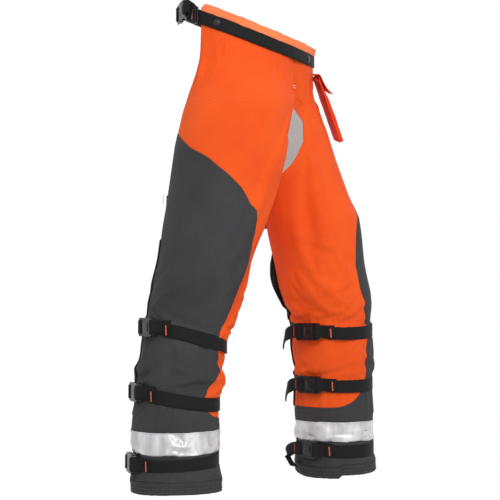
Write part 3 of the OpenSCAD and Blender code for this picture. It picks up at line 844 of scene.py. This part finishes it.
def leg_details(side, word):
    dark, tonal = MATS["thread_dark"], MATS["thread_tonal"]
    for i, inset in enumerate((1.6, 8.5)):
        z, f = seam_path(side, inset)
        cloth_stitches(f"seam_stitch_{word}_{i}", side, z, f, 0.9, dark)
    zs = heights(CROTCH_Z - 2, -425, 4)
    f = lookup(zs, INNER_EDGE)
    edge_strip(f"inner_binding_{word}", side, zs, f, 1, 0.2, 7, MATS["orange"])
    cloth_stitches(f"inner_stitch_{word}", side, zs, f + np.degrees(8.2 / lookup(zs, LEG_R)), 0.3, tonal)
    zs = heights(-14, -204, 4)
    f = lookup(zs, OUTER_EDGE)
    edge_strip(f"apron_binding_{word}", side, zs, f, -1, 0.2, 7, MATS["orange"])
    cloth_stitches(f"apron_stitch_{word}", side, zs, f - np.degrees(8.2 / lookup(zs, LEG_R)), 0.3, tonal)
    zs = heights(-206, -428, 4)
    f = lookup(zs, OUTER_EDGE)
    edge_strip(f"thigh_binding_{word}", side, zs, f, -1, 0.9, 7, MATS["binding"])
    zs = heights(-407, -731, 5)
    edge_strip(f"wrap_binding_{word}_a", side, zs, WRAP_FROM + 0 * zs, 1, 3.1, 7, MATS["binding"])
    stand = wrap_stand(zs, WRAP_TO) if side == LEFT else 0
    edge_strip(f"wrap_binding_{word}_b", side, zs, WRAP_TO + 0 * zs, -1, 3.1 + stand, 7, MATS["binding"])
    round_f = np.arange(-180, 181, 2.0)
    for i, up in enumerate((4, 10, 16, 23)):
        off = 1.6 if up < 20 else 0.8
        cloth_stitches(f"hem_stitch_{word}_{i}", side, HEM_Z + up + 0 * round_f, round_f, off, dark,
                       radius=0.36)
    for i, dz in enumerate((TAPE_H / 2 - 1.6, 1.6 - TAPE_H / 2)):
        cloth_stitches(f"tape_stitch_{word}_{i}", side, TAPE_Z + dz + 0 * round_f, round_f, 1.7,
                       MATS["thread_grey"], radius=0.26)
    for i, dz in enumerate((0, -6)):
        f = np.linspace(-34, 122, 90)
        z = -150 + dz - 34 * smooth((60 - f) / 110)
        cloth_stitches(f"thigh_stitch_{word}_{i}", side, z, f, 0.05, tonal, radius=0.22)


for word, side in SIDES.items():
    leg_panels(side, word)
    leg_details(side, word)

# ---------------------------------------------------------------- webbing

def spline(points, step=2.5):
    """A smooth path through the points, evenly resampled."""
    p = np.asarray(points, float)
    ext = np.concatenate([[2 * p[0] - p[1]], p, [2 * p[-1] - p[-2]]])
    out = []
    for i in range(len(p) - 1):
        a, b, c, d = ext[i:i + 4]
        n = max(2, int(math.ceil(np.linalg.norm(c - b) / step)))
        for t in np.linspace(0, 1, n, endpoint=False):
            out.append(0.5 * (2 * b + (c - a) * t + (2 * a - 5 * b + 4 * c - d) * t * t
                              + (3 * b - a - 3 * c + d) * t ** 3))
    out.append(p[-1])
    return np.array(out)


def ribbon(name, path, across, width, thick, mat, body="root", nodes=()):
    """Flat webbing along a path; across points over the webbing's width at each place."""
    path = np.asarray(path, float)
    across = np.broadcast_to(np.asarray(across, float), path.shape)
    tangent = unit(np.gradient(path, axis=0))
    across = unit(across - (across * tangent).sum(-1, keepdims=True) * tangent)
    normal = np.cross(tangent, across)
    h, w = thick / 2, width / 2
    under = ((-w, -h * 0.35), (-w + 0.5, -h), (-w * 0.5, -h), (0, -h), (w * 0.5, -h), (w - 0.5, -h),
             (w, -h * 0.35))
    profile = under + tuple((u, -v) for u, v in reversed(under))
    n = len(profile)
    grid = np.stack([path + across * u + normal * v for u, v in profile], 1)
    far = travelled(path)
    uv = np.stack([np.broadcast_to(np.array([u for u, _ in profile]) * MM, (len(path), n)),
                   far[:, None] * MM + np.zeros((1, n))], -1)
    faces = grid_faces(len(path), n, closed=True)
    faces += [tuple(reversed(range(n))), tuple((len(path) - 1) * n + k for k in range(n))]
    obj = mesh_object(name, grid, faces, mat, uv, solid=True)
    claim(obj, list(nodes), body)


class Place:
    """A local frame: x along the webbing, y outward, z up, in mm."""

    def __init__(self, origin, outward):
        self.o = np.asarray(origin, float)
        self.y = unit(np.array([outward[0], outward[1], 0.0]))
        self.x = np.array([self.y[1], -self.y[0], 0.0])
        self.z = np.array([0.0, 0.0, 1.0])

    def __call__(self, points):
        p = np.asarray(points, float).reshape(-1, 3)
        return self.o + p[:, :1] * self.x + p[:, 1:2] * self.y + p[:, 2:3] * self.z


def outward(a):
    return np.array([-math.sin(rad(a)), -math.cos(rad(a)), 0.0])


def strap_point(side, k, a, off):
    f = -side * a
    return leg_point(side, strap_height(side, k, f), (f + 180) % 360 - 180 if k else f, off)


def strap_place(side, k):
    a = BUCKLE_ANGLE[side][k]
    return Place(strap_point(side, k, a, STRAP_OFF), outward(a))


def belt_normal(a):
    return unit(np.array([-math.sin(rad(a)) / WAIST_W, -math.cos(rad(a)) / WAIST_D, 0.0]))


def belt_spot(a):
    return Place(waist_point(-a, BELT_OFF), belt_normal(a))


UP = (0, 0, 1)
LOOP = ((-21.5, 3.0), (-22.6, 6.5), (-23.4, 10.5), (-25.2, 13.0), (-28.6, 13.6), (-31.6, 12.2), (-33.4, 8.6))
THREAD_BAR = 8.6        # half height of a sewn bar
TURN_BACK = ((10.5, 3.2, 0), (11, 9.5, 0), (14, 12.2, 0))    # where a loose end leaves its buckle


def bartack(name, place, x, y, mat, body="root", lean=0.0, nodes=()):
    """A dense zigzag of thread."""
    turns = 17
    z = np.linspace(-THREAD_BAR, THREAD_BAR, turns * 4 + 1)
    zig = 1.1 * (np.abs((np.arange(len(z)) % 4) - 2) - 1)
    path = place(np.stack([x + zig + lean * z, y + 0 * z, z], -1))
    side = np.cross(unit(np.gradient(path, axis=0)), place.y)
    rings = np.stack([path + 0.55 * (side * math.cos(t) + place.y * 0.8 * math.sin(t))
                      for t in np.linspace(0, 2 * math.pi, 6, endpoint=False)], 1)
    obj = mesh_object(name, rings, grid_faces(len(path), 6, closed=True), mat, solid=True)
    claim(obj, list(nodes), body)


def under_curve(radius, x):
    """Drop of the leg's surface beside a buckle at its middle."""
    return -(radius - math.sqrt(max(radius ** 2 - x * x, 1)))


def strap_visual(side, word, k):
    a0, web, place = BUCKLE_ANGLE[side][k], MATS["webbing"], strap_place(side, k)
    tag = f"{word}_{k + 1}"
    level = STRAP_OFF - 0.2 + WEB_T / 2
    radius = float(lookup(STRAP_Z[side][k], LEG_R)) + STRAP_OFF
    front = [(-33.6, under_curve(radius, 33.6) + 2.0, 0), (-28, -2.2, 0), (-23, 0.6, 0), (-19, 0.9, 0)]
    rear = [(-2, 0.9, 0), (4, 0.9, 0), (9, 0.6, 0)]
    if k == 0:
        start = [strap_point(side, k, a, level - 4.6 * smooth((180 - a) / 22))
                 for a in np.arange(160, a0 - 27, 4)] if side == RIGHT else [
                 strap_point(side, k, a, level) for a in np.arange(THIGH_START, a0 - 27, 4)]
        end = [strap_point(side, k, a, level) for a in np.arange(a0 + 15, THIGH_END + 1, 6)]
        first = spline([*start, *place(front)])
        second = spline([*place(rear), *end])
        ribbon(f"strap_web_{tag}_a", first, UP, WEB_W, WEB_T, web, nodes=[f"strap_{tag}"])
        ribbon(f"strap_web_{tag}_b", second, UP, WEB_W, WEB_T, web)
    else:
        round_leg = [strap_point(side, k, a, level) for a in np.arange(a0 + 15, a0 + 360 - 27, 6)]
        path = spline([*place(rear), *round_leg, *place(front)])
        ribbon(f"strap_web_{tag}", path, UP, WEB_W, WEB_T, web, nodes=[f"strap_{tag}"])
    # folded back over the female half's bar and sewn down
    over = [(x, y, 0) for x, y in LOOP]
    sewn = [(-x, under_curve(radius, x) + 2.8, 0) for x in (36, 40, 44, 48, 52)]
    loop = spline(place([*over, *sewn]), 1.5)
    ribbon(f"strap_loop_{tag}", loop, UP, WEB_W - 0.6, WEB_T, web)
    a_bar = a0 - math.degrees(math.asin(45 / radius))
    spot = Place(strap_point(side, k, a_bar, STRAP_OFF + 2 * WEB_T + 0.9), outward(a_bar))
    names = ["bartacks"] if (side, k) == (RIGHT, 1) else []
    bartack(f"bartack_{tag}", spot, 0, 0.3, MATS["thread_orange"], lean=0.06, nodes=names)
    if k == 0:
        at, off = (144, STRAP_OFF - 1.6) if side == RIGHT else (THIGH_START + 4, STRAP_OFF + WEB_T + 0.4)
        spot = Place(strap_point(side, k, at, off), outward(at))
        bartack(f"bartack_{tag}_edge", spot, 0, 0.2, MATS["thread_orange"])
    # the adjustable end: a loop through the male half, then the loose tail
    rides = f"strap_release_{tag}"
    if side == LEFT and k:
        hang = ((24, 12.6, 0), (34, 12.2, -1), (43, 10.8, -6), (50, 9.5, -14), (54, 8.6, -24),
                (55.5, 8.4, -34))
        if k == 3:
            hang = ((24, 12.8, 0), (34, 12.8, -3), (43, 12.2, -8), (48, 11.5, -14), (46, 11, -21),
                    (38, 10.5, -30), (30, 10, -37))
        path = spline(place(TURN_BACK + hang), 1.5)
        turn = np.linspace(0, 1, len(path))[:, None]
        twist = smooth((turn - 0.45) / 0.35)
        fan = place.z * (1 - 0.8 * twist) + np.array([0.83, 0.55, 0.1]) * twist * 0.75
        ribbon(f"tail_{tag}", path, fan, WEB_W - 0.6, WEB_T, web, rides, [f"strap_tail_{tag}"])
        bartack(f"bartack_{tag}_b", place, 25, 13.6, MATS["thread_red"], rides)
    else:
        hang = ((20, 12.0, 0), (26, 8.6, 0), (31, 4.0, 0),
                *((x, under_curve(radius, x) + 4.4, 0) for x in (37, 44)))
        path = spline(place(TURN_BACK + hang), 1.5)
        ribbon(f"tail_{tag}", path, UP, WEB_W - 0.6, WEB_T, web, rides, [f"strap_tail_{tag}"])


def belt_visual():
    web = MATS["webbing"]
    level = BELT_OFF + WEB_T / 2
    place = belt_spot(BELT_ANGLE)
    ring = [waist_point(-a, level) for a in np.arange(BELT_ANGLE + 9, BELT_ANGLE + 360 - 12, 4)]
    rear = place([(-2, 0.9, 0), (4, 0.9, 0), (10, 0.8, 0)])
    front = place([(-28, 0.2, 0), (-23, 0.8, 0), (-19, 0.9, 0)])
    path = spline([*rear, *ring, *front])
    sway = [0.25 * math.sin(i * 0.11) + 0.15 * math.sin(i * 0.37) for i in range(len(path))]
    path += np.array(sway)[:, None] * UP
    ribbon("belt_web", path, UP, WEB_W, WEB_T, web, nodes=["belt_webbing"])
    back = [waist_point(-a, level + WEB_T + 0.6) for a in np.arange(BELT_ANGLE - 13, SLIDER_ANGLE - 2, -3)]
    loop = spline([*place([(x, y, 0) for x, y in LOOP]), *place([(-36, 5.2, 0)]), *back], 1.5)
    ribbon("belt_loop", loop, UP, WEB_W - 0.6, WEB_T, web)
    sewn = SLIDER_ANGLE + 3.6
    spot = Place(waist_point(-sewn, level + 2 * WEB_T + 0.5), belt_normal(sewn))
    bartack("bartack_belt", spot, 0, 0.2, MATS["thread_orange"], lean=-0.12)
    hang = ((20, 12.2, 0), (26, 9.5, 0), (32, 5, 0), (38, 2.6, 0), (46, 0.6, 0))
    path = spline(place(TURN_BACK + hang), 1.5)
    ribbon("belt_end", path, UP, WEB_W - 0.6, WEB_T, web, "belt_release", ["belt_tail"])


# ---------------------------------------------------------------- moulded parts

def bevelled_copy(node, name, mat, body, width=0.7, segments=3):
    """The CAD piece with its flat faces joined and its edges rounded."""
    source = frame["nodes"][node]
    mesh = source.data.copy()
    bm = bmesh.new()
    bm.from_mesh(mesh)
    bmesh.ops.remove_doubles(bm, verts=bm.verts, dist=0.00001)
    bmesh.ops.dissolve_limit(bm, angle_limit=math.radians(2), verts=bm.verts, edges=bm.edges)
    bm.to_mesh(mesh)
    bm.free()
    mesh.materials.clear()
    mesh.materials.append(mat)
    obj = bpy.data.objects.new(name, mesh)
    obj.matrix_world = source.matrix_world.copy()
    bpy.context.collection.objects.link(obj)
    mod = obj.modifiers.new("edges", "BEVEL")
    mod.width, mod.segments = width * MM, segments
    mod.limit_method, mod.angle_limit = "ANGLE", math.radians(35)
    mesh.polygons.foreach_set("use_smooth", [True] * len(mesh.polygons))
    normals = obj.modifiers.new("normals", "WEIGHTED_NORMAL")
    normals.keep_sharp = False
    claim(obj, [node], body)


def lozenge(name, place, x0, x1, z0, z1, y0, rise, mat, body, corner=2.0):
    """A low raised pad with a rounded outline and a crowned face."""
    cx, cz, hx, hz = (x0 + x1) / 2, (z0 + z1) / 2, (x1 - x0) / 2, (z1 - z0) / 2
    rings = []
    for inset, y in ((0, 0), (0.05, rise * 0.6), (0.6, rise), (min(hx, hz) * 0.55, rise * 1.25)):
        pts = []
        for t in np.linspace(0, 2 * math.pi, 32, endpoint=False):
            c, s_ = math.cos(t), math.sin(t)
            r = max(corner - inset, 0.2)
            x = cx + math.copysign(hx - inset - r, c) + r * c
            z = cz + math.copysign(hz - inset - r, s_) + r * s_
            pts.append((x, y0 + y, z))
        rings.append(place(pts))
    grid = np.stack(rings)
    faces = grid_faces(4, 32, closed=True, flip=True) + [tuple(3 * 32 + k for k in reversed(range(32)))]
    obj = mesh_object(name, grid, faces, mat)
    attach(obj, body)


def buckle_visual(tag, place, female, male, body):
    plastic = MATS["plastic"]
    bevelled_copy(female, f"female_{tag}", plastic, "root")
    bevelled_copy(male, f"male_{tag}", plastic, body)
    top = WEB_T + 0.4 + BUCKLE_T
    lozenge(f"female_pad_{tag}", place, -18.5, 1.0, -9.5, 9.5, top - 0.1, 0.7, plastic, "root", 3.5)
    lozenge(f"female_bar_{tag}", place, -29.2, -27.4, -13, 13, top - 0.1, 0.6, plastic, "root", 0.8)
    for i, x in enumerate((6.4, 8.0)):
        lozenge(f"male_grip_{tag}_{i}", place, x, x + 0.9, -11, 11, top - 2.1, 0.45, plastic, body, 0.4)


def revolve(name, place, profile, mat, nodes=()):
    """A round part about the outward direction, from pairs of radius and height."""
    t = np.linspace(0, 2 * math.pi, 40, endpoint=False)
    grid = np.stack([place(np.stack([r * np.cos(t), y + 0 * t, r * np.sin(t)], -1)) for r, y in profile])
    obj = mesh_object(name, grid, grid_faces(len(profile), 40, closed=True, flip=True), mat)
    claim(obj, list(nodes))


SNAP = ((6.6, -0.4), (6.7, 0.3), (6.3, 0.9), (5.3, 1.1), (4.9, 0.8), (4.5, 1.2), (3.6, 1.9), (2.2, 2.3),
        (0.9, 2.45), (0.01, 2.5))


def hardware():
    for word, side in SIDES.items():
        for k in range(4):
            tag = f"{word}_{k + 1}"
            strap_visual(side, word, k)
            buckle_visual(tag, strap_place(side, k), f"buckle_female_{tag}", f"buckle_male_{tag}",
                          f"strap_release_{tag}")
    belt_visual()
    buckle_visual("belt", belt_spot(BELT_ANGLE), "belt_buckle_female", "belt_buckle_male", "belt_release")
    bevelled_copy("belt_slider", "slider", MATS["plastic"], "root", 0.5)
    for i, a in enumerate(SNAP_ANGLES):
        place = Place(waist_point(a, BELT_OFF + WEB_T + 0.2), belt_normal(-a))
        revolve(f"snap_{i}", place, SNAP, MATS["snap"], ["snap_caps"] if i == 0 else [])


hardware()

# ---------------------------------------------------------------- waistband and centre seam

def waistband():
    """A folded strip of lighter fabric above the belt, with a loose end at the front left."""
    a = np.linspace(-APRON_ANGLE, APRON_ANGLE, 150)
    t = np.linspace(0, 1, 15)      # from the lower edge to the upper one
    aa, tt = np.meshgrid(a, t)
    ends = smooth((APRON_ANGLE - np.abs(aa)) / 5)
    tall = 13 + 7 * ends
    wave = 0.7 * np.sin(aa * 0.23) + 0.5 * np.sin(aa * 0.61 + 1)
    wing = np.exp(-((aa - 30) / 15) ** 2) * tt ** 2
    puff = 2.0 * np.sin(math.pi * tt) - 0.6 * tt ** 2
    off = 3.0 + puff + wave * tt * 0.8 + 7 * wing
    points = waist_point(aa, off)
    points[..., 2] += 7.5 + tall * tt + wave * 0.5 * tt - 3 * wing
    flat = waist_point(aa, 0 * aa)
    flat[..., 2] += 8 + 22 * tt
    far = widths(flat[:1])[0]
    uv = np.stack([np.broadcast_to(far * MM, aa.shape), tt * 22 * MM], -1)
    obj = fabric("waist_strip", points[:, ::-1], grid_faces(15, 150), MATS["waistband"], uv, 2.6,
                 ["waistband"])
    sheet_of([flat])
    for i, level in enumerate((0.12, 0.9)):
        row = int(level * 14)
        line = points[row]
        n = np.stack([belt_normal(-v) for v in a])
        stitches(f"waist_stitch_{i}", line + 0.2 * n, n, MATS["thread_tonal"], radius=0.26)


def centre_seam():
    z = heights(-58, CROTCH_Z + 3, 3)
    for side, word in ((RIGHT, "right"), (LEFT, "left")):
        f = lookup(z, INNER_EDGE) + 2.6
        cloth_stitches(f"centre_stitch_{word}", side, z, f, 0.3, MATS["thread_tonal"], radius=0.26)
    for i, level in enumerate((-84, -92)):
        p = cloth_point(RIGHT, level, -40.0, 0.8)
        place = Place(p + np.array([2.0, -0.8, 0]), (0.05, -1))
        turns = np.linspace(-6, 6, 45)
        zig = 0.7 * (np.abs((np.arange(45) % 4) - 2) - 1)
        path = place(np.stack([turns, 0.4 + 0 * turns, zig - 0.12 * turns], -1))
        rings = np.stack([path + 0.4 * (place.z * math.cos(t) + place.y * math.sin(t))
                          for t in np.linspace(0, 2 * math.pi, 6, endpoint=False)], 1)
        obj = mesh_object(f"centre_bar_{i}", rings, grid_faces(45, 6, closed=True), MATS["thread_light"])
        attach(obj, "root")


waistband()
centre_seam()

# ---------------------------------------------------------------- pocket

POCKET_W, POCKET_H = 86, 142
POCKET_ANGLE, POCKET_LEAN, POCKET_TILT, POCKET_OFF, POCKET_Z = 38, 21, 14, 6, -32


def turned(axis, degrees):
    c, s_ = math.cos(math.radians(degrees)), math.sin(math.radians(degrees))
    i, j = {"x": (1, 2), "y": (2, 0), "z": (0, 1)}[axis]
    m = np.eye(3)
    m[i, i], m[i, j], m[j, i], m[j, j] = c, -s_, s_, c
    return m


POCKET_TURN = turned("z", 180 + POCKET_ANGLE) @ turned("y", POCKET_TILT) @ turned("x", POCKET_LEAN)
POCKET_AT = body_point(LEFT, float(POCKET_Z), float(POCKET_ANGLE), 0.0) + POCKET_OFF * np.array(
    [math.sin(rad(POCKET_ANGLE)), -math.cos(rad(POCKET_ANGLE)), 0])


def pocket(points):
    return np.asarray(points, float) @ POCKET_TURN.T + POCKET_AT


def bag_thick(z, x):
    """The soft bag is thin at its mouth and fuller below."""
    return 3.6 + 5.4 * smooth((-z - 4) / 84) * (1 - 0.2 * (x / 43) ** 2)


def bag_sheet(name, node, front):
    x, z = np.meshgrid(np.linspace(-1, 1, 41), np.linspace(-1, -POCKET_H, 51))
    half = POCKET_W / 2 - 4 * smooth((-z - POCKET_H + 7) / 7) ** 2
    x = x * half
    sag = 1.1 * np.sin(x * 0.11 + z * 0.05) * smooth(-z / 60) + 0.7 * np.sin(z * 0.13 + x * 0.03)
    inner = 0.9 + 0.5 * sag - 5.5 * smooth((z + 14) / 13)
    y = np.where(front, bag_thick(z, x) + 0.7 * sag, inner)
    points = pocket(np.stack([x, y, z], -1))
    uv = np.stack([x, z], -1) * MM
    obj = fabric(name, points, grid_faces(51, 41, flip=not front), MATS["pocket"], uv, 1.2, [node])


def bag_gusset():
    """A strip down one side, under the bag and up the other, folded a little inward."""
    w, h = POCKET_W / 2, POCKET_H
    line = [(w, z) for z in np.linspace(-6, 6 - h, 30)]
    line += [(w - 5 * (1 - math.cos(t)), 6 - h - 5 * math.sin(t)) for t in np.linspace(0.2, math.pi / 2, 6)]
    line += [(x, 1 - h) for x in np.linspace(w - 10, 0, 8)]
    line = np.array(line + [(-x, z) for x, z in line[-2::-1]])
    t = np.linspace(0, 1, 9)
    tuck = np.sin(math.pi * t)[None, :]
    x, z = line[:, :1] * (1 - 0.03 * tuck), line[:, 1:] * (1 - 0.01 * tuck)
    y = 0.6 + t[None, :] * (bag_thick(line[:, 1:], line[:, :1]) - 0.6)
    points = pocket(np.stack([x, y, z], -1))
    far = travelled(line)
    deep = float(np.mean(y[:, -1] - y[:, 0]))
    uv = np.stack(np.broadcast_arrays(t * deep, far[:, None]), -1) * MM
    obj = fabric("pocket_side", points, grid_faces(len(line), 9), MATS["pocket"], uv, 1.2, ["pocket_gusset"])
    for i, edge in enumerate((1, 7)):
        n = np.sign(line[:, :1] + 0.01) * POCKET_TURN[:, 0]
        stitches(f"pocket_stitch_{i}", points[:, edge] + 0.3 * n, n, MATS["thread_tonal"], radius=0.28)


def bag_flap():
    """A flap over the bag's mouth that curls away from it at its lower edge, with cut-off corners."""
    outline = spline([(1.2, 1.6, 0), (2.2, 3.2, 0), (4.4, 3.0, 0), (6.0, -2, 0), (6.8, -12, 0),
                      (8.6, -24, 0), (12.0, -34, 0), (19.5, -44, 0)], 1.5)
    far = travelled(outline)
    rows = []
    for (y, z, _), d in zip(outline, far):
        x = np.linspace(-1, 1, 37) * (45 - 12 * smooth((d - far[-1] + 15) / 15))
        q = d / far[-1]
        y_row = y + (1.8 * (x / 45) ** 2 + 0.7 * np.sin(x * 0.13)) * q ** 2
        rows.append(np.stack([x, y_row, z - 1.2 * (x / 45) ** 2 * q], -1))
    grid = np.array(rows)
    uv = np.stack([grid[..., 0], np.broadcast_to(-far[:, None], grid.shape[:2])], -1) * MM
    faces = grid_faces(len(rows), 37, flip=True)
    obj = fabric("pocket_flap_cloth", pocket(grid), faces, MATS["pocket"], uv, 1.4, ["pocket_flap"], "flap")


bag_sheet("pocket_rear", "pocket_back", False)
bag_sheet("pocket_face", "pocket_front", True)
bag_gusset()
bag_flap()
